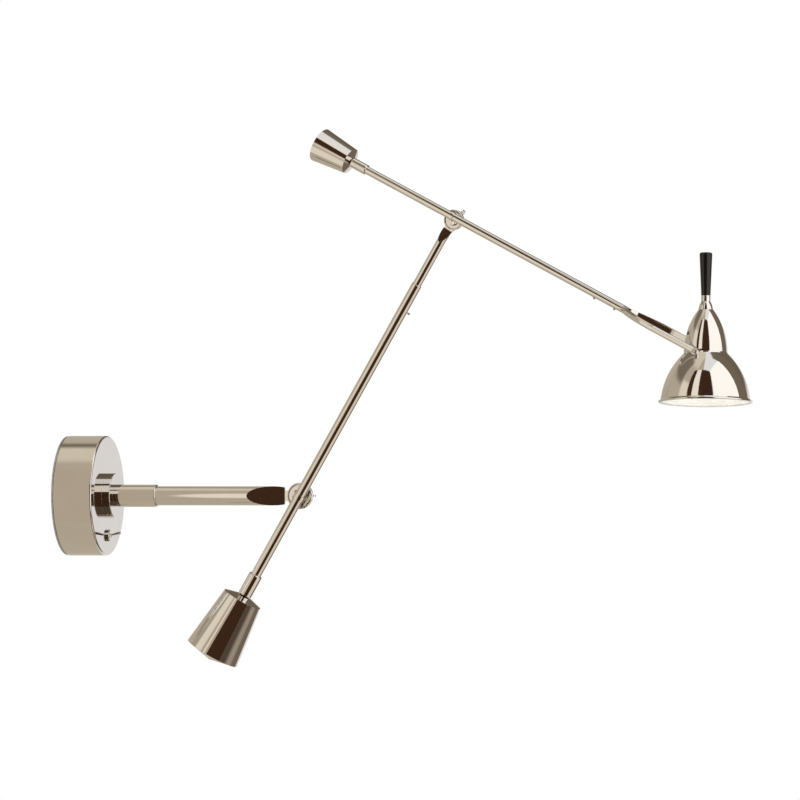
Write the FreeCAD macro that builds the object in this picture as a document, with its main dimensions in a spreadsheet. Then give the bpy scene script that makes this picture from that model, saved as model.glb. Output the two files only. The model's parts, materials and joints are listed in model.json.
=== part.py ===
import FreeCAD, Part
import math
import os
import re
import Sketcher

# Articulating wall lamp, in millimetres.
# Origin: centre of the canopy on the wall plane.  +X runs out of the wall along the fixed
# arm, +Z is up, and -Y is the side from which the elbows, the scarf cuts and the switch show.

Vector = FreeCAD.Vector
ACROSS = Vector(0, 1, 0)

# ---------------------------------------------------------------------------
# Driving dimensions.  Each one is written once, here, and lives in the sheet "Sizes".
# ---------------------------------------------------------------------------
DIMENSIONS = {
    # canopy and its fixing to the wall
    "canopy_diameter": 150.0,
    "canopy_depth": 52.0,
    "canopy_wall": 1.2,
    "canopy_face": 1.5,
    "canopy_round": 2.2,
    "canopy_groove": 1.0,
    "plate_thickness": 2.0,
    "plate_inset": 0.5,
    "plate_spigot": 3.0,
    "spigot_wall": 2.0,
    "spigot_gap": 0.3,
    "wire_hole": 24.0,
    "slot_spacing": 84.0,
    "slot_length": 12.0,
    "slot_width": 5.0,
    "bridge_width": 30.0,
    "bridge_span": 46.0,
    "bridge_sheet": 2.5,
    "bridge_foot": 12.0,
    "foot_screw": 4.0,
    "foot_screw_head": 7.0,
    "foot_screw_rise": 2.4,
    "terminal_length": 34.0,
    "terminal_depth": 15.0,
    "terminal_height": 12.0,
    "terminal_offset": 48.0,
    "terminal_hole": 4.0,
    # stem, flange and socket that carry the fixed arm
    "stem_diameter": 13.0,
    "stem_bore": 9.0,
    "stem_nut_flats": 17.0,
    "stem_nut_height": 4.0,
    "stem_washer": 1.0,
    "stem_washer_diameter": 20.0,
    "stem_tail": 1.5,
    "flange_diameter": 56.0,
    "flange_length": 10.5,
    "flange_round": 0.8,
    "flange_screw": 3.0,
    "flange_screw_angle": 57.0,
    "socket_diameter": 28.0,
    "socket_length": 55.0,
    "socket_base": 4.0,
    "socket_round": 1.8,
    "grub_diameter": 3.0,
    "grub_inset": 10.0,
    "grub_groove": 0.8,
    # fixed arm with its scarf cut
    "wall_tube_diameter": 24.0,
    "wall_tube_wall": 1.5,
    "wall_tube_solid": 60.0,
    "elbow_reach": 301.5,
    "wall_scarf": 45.0,
    "wall_scarf_rise": 5.2,
    # toggle switch below the flange
    "switch_drop": 50.0,
    "switch_body": 13.0,
    "switch_body_depth": 22.0,
    "switch_thread": 6.0,
    "switch_nut_diameter": 15.0,
    "switch_nut_height": 3.5,
    "switch_lip": 1.2,
    "switch_bore": 4.4,
    "switch_ball": 4.2,
    "switch_lever_length": 16.5,
    "switch_lever_root": 1.8,
    "switch_lever_tip": 3.6,
    "switch_throw": 12.5,
    # lower elbow
    "lower_housing_y": 3.0,
    "lower_housing_diameter": 33.0,
    "lower_housing_thickness": 6.0,
    "lower_dish": 1.6,
    "lower_rim": 1.9,
    "lower_neck": 3.4,
    "lower_neck_height": 12.5,
    "lower_journal": 9.0,
    "lower_boss": 15.0,
    "lower_hub_rise": 12.5,
    "lower_collar": 15.0,
    "lower_collar_wall": 1.0,
    "lower_saddle": 7.4,
    "lower_saddle_curve": 17.0,
    "lower_bolt": 5.0,
    "lower_wing_span": 35.0,
    "lower_wing_depth": 8.0,
    "lower_wing_angle": 0.0,
    # upper elbow
    "upper_housing_set": 0.5,
    "upper_housing_diameter": 26.0,
    "upper_housing_thickness": 5.0,
    "upper_dish": 1.3,
    "upper_rim": 1.6,
    "upper_neck": 1.2,
    "upper_neck_height": 12.0,
    "upper_journal": 7.0,
    "upper_boss": 13.0,
    "upper_hub_rise": 6.4,
    "upper_collar": 13.0,
    "upper_collar_wall": 0.8,
    "upper_saddle": 5.6,
    "upper_saddle_curve": 14.0,
    "upper_bolt": 4.0,
    "upper_wing_span": 32.0,
    "upper_wing_depth": 8.0,
    "upper_wing_angle": 52.0,
    # washers and fits shared by both elbows
    "friction_washer": 0.8,
    "back_washer": 1.0,
    "wing_collar_height": 3.0,
    "wing_thickness": 2.4,
    "wing_round": 3.0,
    "running_fit": 0.05,
    "seat_fit": 0.02,
    "seat_gap": 0.2,
    # lower arm: outer tube, turning inner tube, counterweight
    "lower_angle": 60.0,
    "lower_offset": 3.4,
    "lower_reach": 400.5,
    "arm_swivel": -10.0,
    "lower_tube_diameter": 13.0,
    "lower_tube_end": 307.0,
    "lower_tube_tail": 133.0,
    "inner_tube_diameter": 11.0,
    "inner_tube_wall": 1.2,
    "inner_tube_overlap": 60.0,
    "inner_tube_solid": 30.0,
    "inner_flare": 1.2,
    "inner_flare_length": 15.0,
    "inner_scarf": 21.0,
    "inner_scarf_rise": 1.2,
    "thrust_bush": 8.0,
    "lock_screw_place": 270.0,
    "lock_screw_ball": 3.4,
    "lock_screw_neck": 2.0,
    "lock_screw_rise": 2.6,
    "lower_sleeve_diameter": 17.5,
    "lower_sleeve_start": 112.0,
    "lower_sleeve_length": 29.0,
    "lower_weight_neck": 11.0,
    "lower_weight_start": 147.0,
    "lower_weight_cone": 5.6,
    "lower_weight_length": 78.5,
    "lower_weight_small": 51.0,
    "lower_weight_large": 70.4,
    "lower_weight_base": 9.0,
    "lower_stud": 6.0,
    # upper arm
    "upper_angle": 26.35,
    "upper_offset": 4.0,
    "upper_reach": 393.2,
    "upper_tube_diameter": 10.0,
    "upper_tube_bore": 7.6,
    "upper_tube_end": 249.5,
    "upper_tube_tail": 148.8,
    "upper_sleeve_diameter": 12.8,
    "upper_sleeve_start": 133.4,
    "upper_sleeve_length": 21.8,
    "upper_weight_neck": 8.0,
    "upper_weight_start": 159.5,
    "upper_weight_cone": 3.6,
    "upper_weight_length": 46.8,
    "upper_weight_small": 33.2,
    "upper_weight_large": 43.6,
    "upper_weight_base": 5.5,
    "upper_stud": 4.5,
    "stop_screw_place": 223.3,
    "stop_screw_head": 3.2,
    "stop_screw_rise": 1.6,
    # head fork
    "stub_length": 13.1,
    "stub_journal_length": 36.0,
    "stub_screw_inset": 5.0,
    "fork_inner": 32.6,
    "fork_start": 0.6,
    "fork_curve": 62.0,
    "prong_width": 8.2,
    "prong_thickness": 3.6,
    "prong_eye": 8.4,
    "crotch_length": 7.0,
    "pin_diameter": 3.4,
    "pin_head": 5.6,
    "pin_head_height": 1.7,
    "bush_diameter": 6.0,
    "bush_inner": 22.0,
    # shade, heights taken from the tilting axis
    "shade_tilt": 1.7,
    "shade_wall": 1.0,
    "dome_foot": 1.3,
    "dome_radius": 27.3,
    "dome_top": 54.7,
    "dome_top_radius": 9.5,
    "dome_curve": 89.0,
    "bell_shoulder": -0.4,
    "bell_shoulder_radius": 28.0,
    "bell_foot": -57.5,
    "bell_foot_radius": 56.0,
    "bell_curve": 93.5,
    "rim_radius": 57.6,
    "rim_bead": 2.8,
    "lining_skin": 0.3,
    "lining_gap": 0.15,
    "rim_height": -60.1,
    "cap_base_radius": 9.1,
    "cap_base_height": 55.5,
    "cap_curve": 22.0,
    "ferrule_radius": 5.8,
    "ferrule_foot": 64.9,
    "handle_foot": 72.5,
    "handle_top": 126.3,
    "handle_top_radius": 8.15,
    "handle_round": 2.2,
    "handle_stud": 5.0,
    "handle_stud_length": 14.0,
    "holder_diameter": 22.0,
    "holder_foot": 0.1,
    "holder_top": 35.1,
    "holder_wall": 3.4,
    "nipple_diameter": 8.0,
    "nipple_bore": 5.0,
    "cap_nut_height": 3.0,
    "cap_nut_diameter": 14.0,
    "bulb_base_diameter": 14.0,
    "bulb_base_top": 25.1,
    "bulb_neck_height": -2.9,
    "bulb_diameter": 42.0,
    "bulb_centre": -23.9,
}

DOCUMENT = FreeCAD.newDocument("WallLamp")
SHEET = DOCUMENT.addObject("Spreadsheet::Sheet", "Sizes")
SUBPARTS = []


def fill_sheet():
    """Write every driving dimension into the sheet as a plain number with its alias."""
    for row, (alias, number) in enumerate(DIMENSIONS.items(), start=1):
        SHEET.set("A%d" % row, alias)
        SHEET.set("B%d" % row, str(number))
        SHEET.setAlias("B%d" % row, alias)
    DOCUMENT.recompute()


def bound(formula):
    """Turn a formula in dimension names into one that reads the sheet."""
    def cell(match):
        word = match.group(0)
        return "Sizes." + word if word in DIMENSIONS else word
    return re.sub(r"[a-z]+(?:_[a-z]+)+", cell, formula)


def number(formula):
    """The present value of a formula in dimension names."""
    return float(SHEET.evalExpression(bound(formula)))


# ---------------------------------------------------------------------------
# Frames: (x, y, z, angle about Y), all formulas.  A fifth formula is the turn that the
# frame has made with the inner tube, about the lower arm's axis.
# ---------------------------------------------------------------------------
LOWER_COS = "cos(lower_angle * 1deg)"
LOWER_SIN = "sin(lower_angle * 1deg)"
UPPER_COS = "cos(upper_angle * 1deg)"
UPPER_SIN = "sin(upper_angle * 1deg)"

LOWER_AXIS_X = "(elbow_reach + lower_offset * %s)" % LOWER_SIN
LOWER_AXIS_Z = "(0 - lower_offset * %s)" % LOWER_COS
LOWER_Y = "(lower_housing_y - lower_hub_rise)"
UPPER_ELBOW_X = "(%s + lower_reach * %s)" % (LOWER_AXIS_X, LOWER_COS)
UPPER_ELBOW_Z = "(%s + lower_reach * %s)" % (LOWER_AXIS_Z, LOWER_SIN)
UPPER_ELBOW_Y = "(%s + upper_housing_set)" % LOWER_Y
UPPER_AXIS_X = "(%s + upper_offset * %s)" % (UPPER_ELBOW_X, UPPER_SIN)
UPPER_AXIS_Z = "(%s + upper_offset * %s)" % (UPPER_ELBOW_Z, UPPER_COS)
UPPER_Y = "(%s - upper_hub_rise)" % UPPER_ELBOW_Y
PIN_X = "(%s + upper_reach * %s)" % (UPPER_AXIS_X, UPPER_COS)
PIN_Z = "(%s - upper_reach * %s)" % (UPPER_AXIS_Z, UPPER_SIN)

WALL = ("0", "0", "0", "0")
LOWER_ELBOW = ("elbow_reach", "lower_housing_y", "0", "0")
LOWER_WING = ("elbow_reach", "lower_housing_y", "0", "0 - lower_wing_angle")
LOWER_ARM = (LOWER_AXIS_X, LOWER_Y, LOWER_AXIS_Z, "0 - lower_angle")
INNER_ARM = LOWER_ARM + ("arm_swivel",)
UPPER_ELBOW = (UPPER_ELBOW_X, UPPER_ELBOW_Y, UPPER_ELBOW_Z, "0 - lower_angle", "arm_swivel")
UPPER_WING = (UPPER_ELBOW_X, UPPER_ELBOW_Y, UPPER_ELBOW_Z, "0 - upper_wing_angle", "arm_swivel")
UPPER_ARM = (UPPER_AXIS_X, UPPER_Y, UPPER_AXIS_Z, "upper_angle", "arm_swivel")
FORK = (PIN_X, UPPER_Y, PIN_Z, "upper_angle", "arm_swivel")
# local x runs up the shade's axis, local z runs back towards the arm
SHADE = (PIN_X, UPPER_Y, PIN_Z, "0 - 90 - shade_tilt", "arm_swivel")
SWITCH = ("canopy_depth + switch_lip", "0", "0 - switch_drop", "0 - switch_throw")


def put(piece, frame):
    """Place a piece in its frame, bound to the sheet."""
    place = "placement(vector(%s; %s; %s); rotation(vector(0; 1; 0); (%s) * 1deg))" % frame[:4]
    if len(frame) > 4:
        axis = "vector(%s; 0; %s)" % (LOWER_COS, LOWER_SIN)
        centre = "vector(%s; %s; %s)" % (LOWER_AXIS_X, LOWER_Y, LOWER_AXIS_Z)
        place = "placement(vector(0; 0; 0); rotation(%s; (%s) * 1deg); %s) * %s" % (
            axis, frame[4], centre, place)
    piece.setExpression("Placement", bound(place))


# ---------------------------------------------------------------------------
# Ways of making a piece.
# ---------------------------------------------------------------------------
def new_body(label, frame):
    """An empty body for one sub-part, placed in its frame."""
    body = DOCUMENT.addObject("PartDesign::Body", label)
    body.Label = label
    put(body, frame)
    SUBPARTS.append(body)
    return body


def origin_plane(body, role):
    """One of the body's own origin planes."""
    return next(f for f in body.Origin.OriginFeatures if f.Role == role)


def new_sketch(body, role, offset="0"):
    """An empty sketch on an origin plane, moved along the plane's normal."""
    sketch = body.newObject("Sketcher::SketchObject", body.Label + "_sketch")
    sketch.AttachmentSupport = [(origin_plane(body, role), "")]
    sketch.MapMode = "FlatFace"
    if offset != "0":
        sketch.setExpression("AttachmentOffset.Base.z", bound(offset))
    return sketch


def short_arc(start, end, radius, side):
    """A short arc that bulges to the left (side 1) or right (side -1) of its run."""
    chord = end - start
    half = chord.Length / 2
    left = Vector(-chord.y, chord.x, 0).normalize()
    centre = (start + end) / 2 - left * math.sqrt(radius * radius - half * half) * side
    first, last = (start, end) if side < 0 else (end, start)
    angles = [math.atan2(p.y - centre.y, p.x - centre.x) for p in (first, last)]
    circle = Part.Circle(centre, Vector(0, 0, 1), radius)
    return Part.ArcOfCircle(circle, angles[0], angles[1])


def draw_outline(sketch, corners, closed=True):
    """Draw an outline whose corners are (u, v) formulas.

    A corner may add (radius, side): the run that leaves it is then an arc.
    """
    points = [Vector(number(c[0]), number(c[1]), 0) for c in corners]
    runs = len(corners) if closed else len(corners) - 1
    ends = []
    for run in range(runs):
        start = points[run]
        end = points[(run + 1) % len(points)]
        if len(corners[run]) == 2:
            sketch.addGeometry(Part.LineSegment(start, end), False)
            ends.append((1, 2))
        else:
            radius, side = corners[run][2:]
            sketch.addGeometry(short_arc(start, end, number(radius), side), False)
            ends.append((1, 2) if side < 0 else (2, 1))
    for run in range(runs - 1 if not closed else runs):
        following = (run + 1) % runs
        sketch.addConstraint(Sketcher.Constraint(
            "Coincident", run, ends[run][1], following, ends[following][0]))
    anchors = [(run, ends[run][0]) for run in range(runs)]
    if not closed:
        anchors.append((runs - 1, ends[runs - 1][1]))
    for (run, end), corner, point in zip(anchors, corners, points):
        fix(sketch, "DistanceX", (run, end), corner[0], point.x)
        fix(sketch, "DistanceY", (run, end), corner[1], point.y)
    for run in range(runs):
        if len(corners[run]) > 2:
            index = sketch.addConstraint(Sketcher.Constraint(
                "Radius", run, number(corners[run][2])))
            sketch.setExpression("Constraints[%d]" % index, bound(corners[run][2]))
    return sketch


def fix(sketch, kind, end, formula, present):
    """Tie one coordinate of a sketch point to a formula."""
    index = sketch.addConstraint(Sketcher.Constraint(kind, -1, 1, end[0], end[1], present))
    sketch.setExpression("Constraints[%d]" % index, bound(formula))


def turn(body, corners, about="x"):
    """Turn an outline of (along, radius) corners about the body's x axis, or its y axis."""
    sketch = new_sketch(body, "XY_Plane")
    if about == "y":
        corners = [(c[1], c[0]) + tuple(c[2:3]) + tuple(-s for s in c[3:4]) for c in corners]
    draw_outline(sketch, corners)
    feature = body.newObject("PartDesign::Revolution", body.Label + "_turned")
    feature.Profile = sketch
    feature.ReferenceAxis = (sketch, ["H_Axis" if about == "x" else "V_Axis"])
    feature.Angle = 360
    return feature


def turned(label, frame, corners, about="x"):
    """A sub-part that is one turned form."""
    body = new_body(label, frame)
    turn(body, corners, about)
    return body


def pad(body, role, corners, start, length):
    """Pad an outline along its plane's normal, from start."""
    sketch = draw_outline(new_sketch(body, role, start), corners)
    feature = body.newObject("PartDesign::Pad", body.Label + "_pad")
    feature.Profile = sketch
    feature.setExpression("Length", bound(length))
    return feature


def cut_through(body, role, corners, start, length):
    """Cut an outline out of the body, from start back against the plane's normal."""
    sketch = draw_outline(new_sketch(body, role, start), corners)
    feature = body.newObject("PartDesign::Pocket", body.Label + "_cut")
    feature.Profile = sketch
    feature.setExpression("Length", bound(length))
    return feature


def cylinder(body, kind, role, centre, radius, start, length):
    """Add or take away a cylinder along a plane's normal (kind Additive or Subtractive)."""
    feature = body.newObject("PartDesign::%sCylinder" % kind, body.Label + "_round")
    feature.AttachmentSupport = [(origin_plane(body, role), "")]
    feature.MapMode = "FlatFace"
    for key, formula in zip("xyz", (centre[0], centre[1], start)):
        feature.setExpression("AttachmentOffset.Base.%s" % key, bound(formula))
    feature.setExpression("Radius", bound(radius))
    feature.setExpression("Height", bound(length))
    return feature


def round_edges(body, wanted, radius):
    """Round the edges of the body for which wanted(edge) holds."""
    DOCUMENT.recompute()
    tip = body.Tip
    names = ["Edge%d" % (i + 1) for i, edge in enumerate(tip.Shape.Edges) if wanted(edge)]
    feature = body.newObject("PartDesign::Fillet", body.Label + "_rounding")
    feature.Base = (tip, names)
    feature.setExpression("Radius", bound(radius))
    return feature


def rim_at(*rims):
    """Matches the round edges about x that lie at given (along, radius) formulas."""
    places = [(number(along), number(radius)) for along, radius in rims]

    def wanted(edge):
        curve = edge.Curve
        if not isinstance(curve, Part.Circle):
            return False
        return any(abs(curve.Center.x - along) < 0.01 and abs(curve.Radius - radius) < 0.01
                   for along, radius in places)
    return wanted


def ring(label, frame, start, end, inner, outer, about="x"):
    """A plain washer, bush or tube between two places along its axis."""
    return turned(label, frame,
                  [(start, inner), (start, outer), (end, outer), (end, inner)], about)


def solid_round(name, radius, length, place, axis=ACROSS, swing="0"):
    """A loose cylinder for a group; it starts at place and runs along z turned about axis."""
    piece = DOCUMENT.addObject("Part::Cylinder", name)
    piece.setExpression("Radius", bound(radius))
    piece.setExpression("Height", bound(length))
    piece.Placement = FreeCAD.Placement(Vector(0, 0, 0), FreeCAD.Rotation(axis, 10))
    for key, formula in zip("xyz", place):
        piece.setExpression("Placement.Base.%s" % key, bound(formula))
    piece.setExpression("Placement.Rotation.Angle", bound("(%s) * 1deg" % swing))
    return piece


def joined(name, pieces):
    """One solid from loose pieces that overlap."""
    fuse = DOCUMENT.addObject("Part::MultiFuse", name)
    fuse.Shapes = pieces
    return fuse


def group(label, frame, pieces):
    """Several equal loose pieces under one name."""
    bundle = DOCUMENT.addObject("Part::Compound", label)
    bundle.Label = label
    bundle.Links = pieces
    put(bundle, frame)
    SUBPARTS.append(bundle)
    return bundle


# ---------------------------------------------------------------------------
# Canopy and what it hides.
# ---------------------------------------------------------------------------
def wall_plate():
    """Round plate screwed to the wall; its upstanding ring centres the canopy shell."""
    outer = "canopy_diameter / 2 - plate_inset"
    ring_outer = "canopy_diameter / 2 - canopy_wall - spigot_gap"
    ring_inner = ring_outer + " - spigot_wall"
    top = "plate_thickness + plate_spigot"
    body = turned("wall_plate", WALL, [
        ("0", "wire_hole / 2"), ("0", outer), ("plate_thickness", outer),
        ("plate_thickness", ring_outer), (top, ring_outer), (top, ring_inner),
        ("plate_thickness", ring_inner), ("plate_thickness", "wire_hole / 2")])
    for side in ("0 - ", "0 + "):
        centre = "(%sslot_spacing / 2)" % side
        reach = "(slot_length - slot_width) / 2"
        half = "slot_width / 2"
        corners = [
            (centre + " - " + reach, "0 - " + half),
            (centre + " + " + reach, "0 - " + half, half + " + 0.0001", -1),
            (centre + " + " + reach, half),
            (centre + " - " + reach, half, half + " + 0.0001", -1)]
        cut_through(body, "YZ_Plane", corners, "plate_thickness", "plate_thickness")
    return body


def bridge_bracket():
    """Hat-shaped strap that stands on the plate and carries the stem."""
    web = "bridge_span / 2"
    inside = web + " - bridge_sheet"
    foot = web + " + bridge_foot"
    low = "plate_thickness"
    top = "canopy_depth - canopy_face"
    sheet = "bridge_sheet"
    body = new_body("bridge_bracket", WALL)
    pad(body, "XZ_Plane", [
        (low, "0 - (%s)" % foot), (low + " + " + sheet, "0 - (%s)" % foot),
        (low + " + " + sheet, "0 - " + web), (top, "0 - " + web), (top, web),
        (low + " + " + sheet, web), (low + " + " + sheet, foot), (low, foot),
        (low, inside), (top + " - " + sheet, inside),
        (top + " - " + sheet, "0 - (%s)" % inside), (low, "0 - (%s)" % inside)],
        "0 - bridge_width / 2", "bridge_width")
    cylinder(body, "Subtractive", "YZ_Plane", ("0", "0"), "stem_diameter / 2 + seat_fit",
             top + " - 2 * bridge_sheet", "3 * bridge_sheet")
    for sign in ("0 - ", "0 + "):
        cylinder(body, "Subtractive", "YZ_Plane",
                 ("0", "%s(%s + bridge_foot / 2)" % (sign, web)),
                 "foot_screw / 2 + seat_fit", "plate_thickness - 1", "bridge_sheet + 2")
    return body


def bridge_screws():
    """Two cheese-head screws that hold the strap's feet to the plate."""
    screws = []
    for sign in ("0 - ", "0 + "):
        height = "%s(bridge_span / 2 + bridge_foot / 2)" % sign
        shank = solid_round("foot_shank", "foot_screw / 2", "bridge_sheet + foot_screw_rise / 2",
                            ("plate_thickness", "0", height), ACROSS, "90")
        head = solid_round("foot_head", "foot_screw_head / 2", "foot_screw_rise",
                           ("plate_thickness + bridge_sheet", "0", height), ACROSS, "90")
        screws.append(joined("foot_screw_solid", [shank, head]))
    return group("bridge_screws", WALL, screws)


def canopy_shell():
    """Deep round cover, open towards the wall, with a flat polished front."""
    outer = "canopy_diameter / 2"
    inner = "canopy_diameter / 2 - canopy_wall"
    back = "plate_thickness + canopy_groove"
    face = "canopy_depth - canopy_face"
    body = turned("canopy_shell", WALL, [
        (back, inner), (back, outer), ("canopy_depth", outer),
        ("canopy_depth", "stem_diameter / 2 + seat_fit"),
        (face, "stem_diameter / 2 + seat_fit"), (face, inner)])
    round_edges(body, rim_at(("canopy_depth", outer)), "canopy_round")
    round_edges(body, rim_at((back, outer)), "canopy_wall / 2")
    cylinder(body, "Subtractive", "YZ_Plane", ("0", "0 - switch_drop"),
             "switch_thread / 2 + seat_fit", "canopy_depth - 2 * canopy_face",
             "3 * canopy_face")
    return body


def mounting_flange():
    """Round collar on the canopy's face, with a set screw in its side."""
    face = "canopy_depth + flange_length"
    radius = "flange_diameter / 2"
    body = turned("mounting_flange", WALL, [
        ("canopy_depth", "stem_diameter / 2 + seat_fit"), ("canopy_depth", radius),
        (face, radius), (face, "stem_diameter / 2 + seat_fit")])
    round_edges(body, rim_at((face, radius)), "flange_round")
    hole = body.newObject("PartDesign::SubtractiveCylinder", "flange_screw_hole")
    bind_flange_screw(hole, "flange_screw / 2 + seat_fit", "flange_diameter / 2 + 1")
    return body


def bind_flange_screw(piece, radius, reach):
    """Lay a cylinder along the flange's set screw, which points down and to the near side."""
    piece.Placement = FreeCAD.Placement(Vector(0, 0, 0), FreeCAD.Rotation(Vector(1, 0, 0), 10))
    start = "(stem_diameter / 2 + seat_gap)"
    piece.setExpression("Radius", bound(radius))
    piece.setExpression("Height", bound("%s - %s" % (reach, start)))
    piece.setExpression("Placement.Base.x", bound("canopy_depth + flange_length / 2"))
    piece.setExpression("Placement.Base.y", bound("0 - %s * cos(flange_screw_angle * 1deg)" % start))
    piece.setExpression("Placement.Base.z", bound("0 - %s * sin(flange_screw_angle * 1deg)" % start))
    piece.setExpression("Placement.Rotation.Angle", bound("(90 + flange_screw_angle) * 1deg"))


def flange_set_screw():
    """Headless screw in the flange, just below the surface."""
    screw = DOCUMENT.addObject("Part::Cylinder", "flange_set_screw")
    screw.Label = "flange_set_screw"
    bind_flange_screw(screw, "flange_screw / 2", "flange_diameter / 2 - flange_round")
    SUBPARTS.append(screw)
    return screw


def stem_pieces():
    """Hollow stem through strap, canopy and flange into the socket, with nut and washer."""
    under = "canopy_depth - canopy_face - bridge_sheet"
    nut_top = under + " - stem_washer"
    tail = nut_top + " - stem_nut_height - stem_tail"
    socket_floor = "canopy_depth + flange_length + socket_base"
    ring("stem", WALL, tail, socket_floor, "stem_bore / 2", "stem_diameter / 2")
    ring("stem_washer_plate", WALL, nut_top, under,
         "stem_diameter / 2 + seat_fit", "stem_washer_diameter / 2")
    nut = new_body("stem_nut", WALL)
    half = "stem_nut_flats / 2"
    tip = "stem_nut_flats / sqrt(3)"
    pad(nut, "YZ_Plane", [
        (tip, "0"), (tip + " / 2", half), ("0 - " + tip + " / 2", half), ("0 - " + tip, "0"),
        ("0 - " + tip + " / 2", "0 - " + half), (tip + " / 2", "0 - " + half)],
        nut_top + " - stem_nut_height", "stem_nut_height")
    cylinder(nut, "Subtractive", "YZ_Plane", ("0", "0"), "stem_diameter / 2 + seat_fit",
             nut_top + " - stem_nut_height - 1", "stem_nut_height + 2")


def arm_socket():
    """Tube on the flange in which the fixed arm turns."""
    base = "canopy_depth + flange_length"
    end = base + " + socket_length"
    outer = "socket_diameter / 2"
    bore = "wall_tube_diameter / 2 + running_fit"
    body = turned("arm_socket", WALL, [
        (base, "stem_diameter / 2 + seat_fit"), (base, outer), (end, outer), (end, bore),
        (base + " + socket_base", bore),
        (base + " + socket_base", "stem_diameter / 2 + seat_fit")])
    round_edges(body, rim_at((end, outer)), "socket_round")
    cylinder(body, "Subtractive", "XZ_Plane", (base + " + socket_base + grub_inset", "0"),
             "grub_diameter / 2 + seat_fit", "0 - socket_diameter", "socket_diameter")
    return body


def socket_grub_screw():
    """Screw in the far side of the socket whose tip keeps the fixed arm in place."""
    tip = "wall_tube_diameter / 2 - grub_groove / 2"
    place = ("canopy_depth + flange_length + socket_base + grub_inset", tip, "0")
    screw = solid_round("socket_grub_screw", "grub_diameter / 2",
                        "socket_diameter / 2 - socket_round / 4 - (%s)" % tip,
                        place, Vector(1, 0, 0), "0 - 90")
    screw.Label = "socket_grub_screw"
    SUBPARTS.append(screw)
    return screw


def terminal_block():
    """Three-way terminal block on the plate, above the strap."""
    half = "terminal_length / 2"
    low = "terminal_offset - terminal_height / 2"
    body = new_body("terminal_block", WALL)
    pad(body, "XY_Plane", [
        ("plate_thickness", "0 - " + half),
        ("plate_thickness + terminal_depth", "0 - " + half),
        ("plate_thickness + terminal_depth", half), ("plate_thickness", half)],
        low, "terminal_height")
    for way in range(-1, 2):
        cylinder(body, "Subtractive", "XY_Plane",
                 ("plate_thickness + terminal_depth / 2", "%d * terminal_length / 3" % way),
                 "terminal_hole / 2", low + " - 1", "terminal_height + 2")
    return body


# ---------------------------------------------------------------------------
# Toggle switch.
# ---------------------------------------------------------------------------
def switch_pieces():
    """Switch body behind the face with its threaded neck, and the round nut in front."""
    half = "switch_body / 2"
    back = "canopy_depth - canopy_face"
    body = new_body("switch_body_case", ("0", "0", "0 - switch_drop", "0"))
    pad(body, "YZ_Plane", [("0 - " + half, "0 - " + half), (half, "0 - " + half),
                           (half, half), ("0 - " + half, half)],
        back + " - switch_body_depth", "switch_body_depth")
    cylinder(body, "Additive", "YZ_Plane", ("0", "0"), "switch_thread / 2", back + " - 1",
             "canopy_face + switch_nut_height + switch_lip + 1")
    cylinder(body, "Subtractive", "YZ_Plane", ("0", "0"), "switch_bore / 2", back,
             "canopy_face + switch_nut_height + switch_lip + 1")
    nut = turned("switch_nut", ("0", "0", "0 - switch_drop", "0"), [
        ("canopy_depth", "switch_thread / 2 + seat_fit"),
        ("canopy_depth", "switch_nut_diameter / 2"),
        ("canopy_depth + switch_nut_height", "switch_nut_diameter / 2"),
        ("canopy_depth + switch_nut_height", "switch_thread / 2 + seat_fit")])
    round_edges(nut, rim_at(("canopy_depth + switch_nut_height", "switch_nut_diameter / 2")),
                "switch_nut_height / 3")


def switch_lever():
    """Bat-shaped lever that rocks on a ball inside the neck."""
    ball = "switch_ball / 2"
    root = "switch_lever_root / 2"
    start = "sqrt(pow(%s; 2) - pow(%s; 2))" % (ball, root)
    tip = "switch_lever_tip / 2"
    return turned("switch_lever", SWITCH, [
        ("0 - " + ball, "0", ball, 1), ("0", ball, ball, 1), (start, root),
        ("switch_lever_length - " + tip, tip, tip, 1),
        ("switch_lever_length", "0")])


# ---------------------------------------------------------------------------
# Fixed arm.
# ---------------------------------------------------------------------------
def scarf(body, start, end, radius, rise):
    """Slanted cut that leaves a tongue on the far side of a tube."""
    radius = "(%s)" % radius
    front = "0 - %s - 1" % radius
    slope = "(%s + %s) / (%s - (%s))" % (radius, rise, end, start)
    cut_through(body, "XY_Plane", [
        ("%s - 1 / (%s)" % (start, slope), front), (end + " + 1", front),
        (end + " + 1", "%s + %s" % (rise, slope))],
        radius + " + 1", "2 * %s + 2" % radius)


def wall_tube():
    """Fixed arm: a tube that turns in the socket and ends in a slanted flat."""
    start = "canopy_depth + flange_length + socket_base + seat_gap"
    end = "elbow_reach - lower_housing_diameter / 2 - lower_neck"
    outer = "wall_tube_diameter / 2"
    inner = "wall_tube_diameter / 2 - wall_tube_wall"
    groove = "canopy_depth + flange_length + socket_base + grub_inset"
    width = "(grub_diameter / 2 + seat_gap)"
    floor = outer + " - grub_groove"
    bore_end = end + " - wall_tube_solid"
    body = turned("wall_tube", WALL, [
        (start, inner), (start, outer), (groove + " - " + width, outer),
        (groove + " - " + width, floor), (groove + " + " + width, floor),
        (groove + " + " + width, outer), (end, outer), (end, "0"), (bore_end, "0"),
        (bore_end, inner)])
    scarf(body, end + " - wall_scarf", end, outer, "wall_scarf_rise")
    return body


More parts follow.
